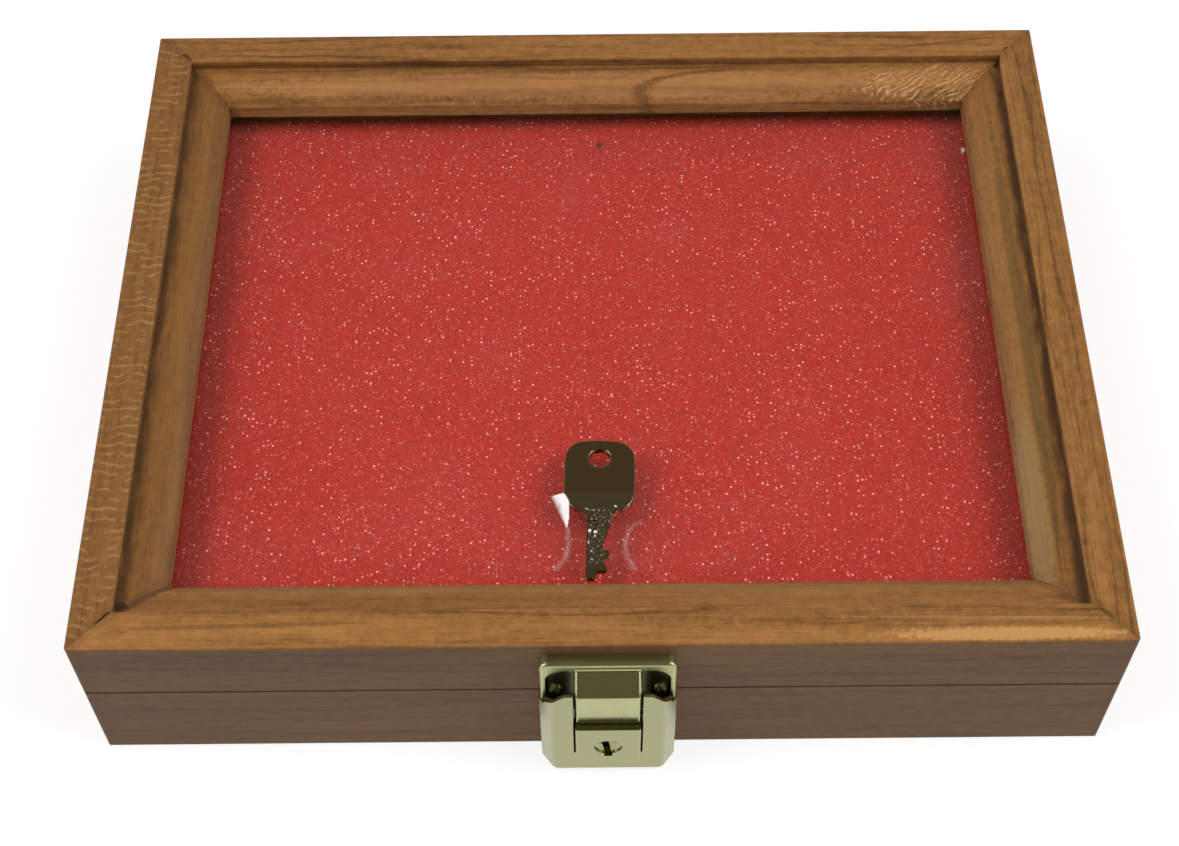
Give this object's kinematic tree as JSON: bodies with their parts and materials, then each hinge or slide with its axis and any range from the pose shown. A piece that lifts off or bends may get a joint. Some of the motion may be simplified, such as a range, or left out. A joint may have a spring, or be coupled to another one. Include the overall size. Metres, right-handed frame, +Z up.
{
  "type": "display case",
  "caption": "Shallow wooden display case with a glazed hinged lid, a foam-lined tray, a brass hasp lock at the front and its flat key taped to the glass.",
  "frame": {"origin": "centre of the tray's underside, on the plane the case stands on", "axes": "+X to the right seen from the front, -Y to the front where the lock is, +Y to the hinges, +Z up"},
  "size_m": [0.216, 0.1834, 0.0444],
  "materials": {
    "cherry_wood": "satin clear varnish over straight and rippled grain",
    "panel_wood": "plain sanded board",
    "red_foam": "matt cut foam with fine pale flecks",
    "pane": "polished clear glass",
    "yellow_brass": "polished brass plate",
    "bright_steel": "bright drawn steel",
    "key_steel": "tumbled steel with a dull nickel finish",
    "clear_tape": "clear glossy adhesive tape"
  },
  "bodies": {
    "case": {"base_wall_front": "cherry_wood", "base_wall_back": "cherry_wood", "base_wall_left": "cherry_wood", "base_wall_right": "cherry_wood", "bottom_panel": "panel_wood", "bottom_panel_brads": "bright_steel", "foam_pad": "red_foam", "hinge_left_base_leaf": "yellow_brass", "hinge_right_base_leaf": "yellow_brass", "hinge_left_pin": "bright_steel", "hinge_right_pin": "bright_steel", "hinge_screws_base": "yellow_brass", "lock_body": "yellow_brass", "lock_back_plate": "bright_steel", "lock_body_nails": "bright_steel"},
    "lid": {"lid_rail_front": "cherry_wood", "lid_rail_back": "cherry_wood", "lid_rail_left": "cherry_wood", "lid_rail_right": "cherry_wood", "glass_pane": "pane", "glass_bead_front": "cherry_wood", "glass_bead_back": "cherry_wood", "glass_bead_left": "cherry_wood", "glass_bead_right": "cherry_wood", "glass_bead_brads": "bright_steel", "hinge_left_lid_leaf": "yellow_brass", "hinge_right_lid_leaf": "yellow_brass", "hinge_screws_lid": "yellow_brass", "hasp_plate": "yellow_brass", "hasp_plate_nails": "yellow_brass", "hasp_pin": "bright_steel", "key": "key_steel", "key_tape": "clear_tape"},
    "hasp": {"hasp": "yellow_brass"},
    "plug": {"lock_plug": "yellow_brass"},
    "bolt": {"lock_bolt": "bright_steel"}
  },
  "joints": [
    {"name": "lid_hinge", "type": "hinge", "parent": "case", "child": "lid", "pos_m": [0, 0.0878, 0.0254], "axis": [-1, 0, 0], "range_deg": [0, 180]},
    {"name": "hasp_swing", "type": "hinge", "parent": "lid", "child": "hasp", "pos_m": [0.0012, -0.087, 0.038], "axis": [-1, 0, 0], "range_deg": [0, 90]},
    {"name": "bolt_slide", "type": "slide", "parent": "case", "child": "bolt", "axis": [1, 0, 0], "range_m": [0, 0.00283]},
    {"name": "plug_turn", "type": "hinge", "parent": "case", "child": "plug", "pos_m": [0.0012, -0.0855, 0.0143], "axis": [0, 1, 0], "range_deg": [0, 90]}
  ],
  "couplings": [
    {"joint": "plug_turn", "follows": "bolt_slide", "rad_per_m": 555.36}
  ]
}
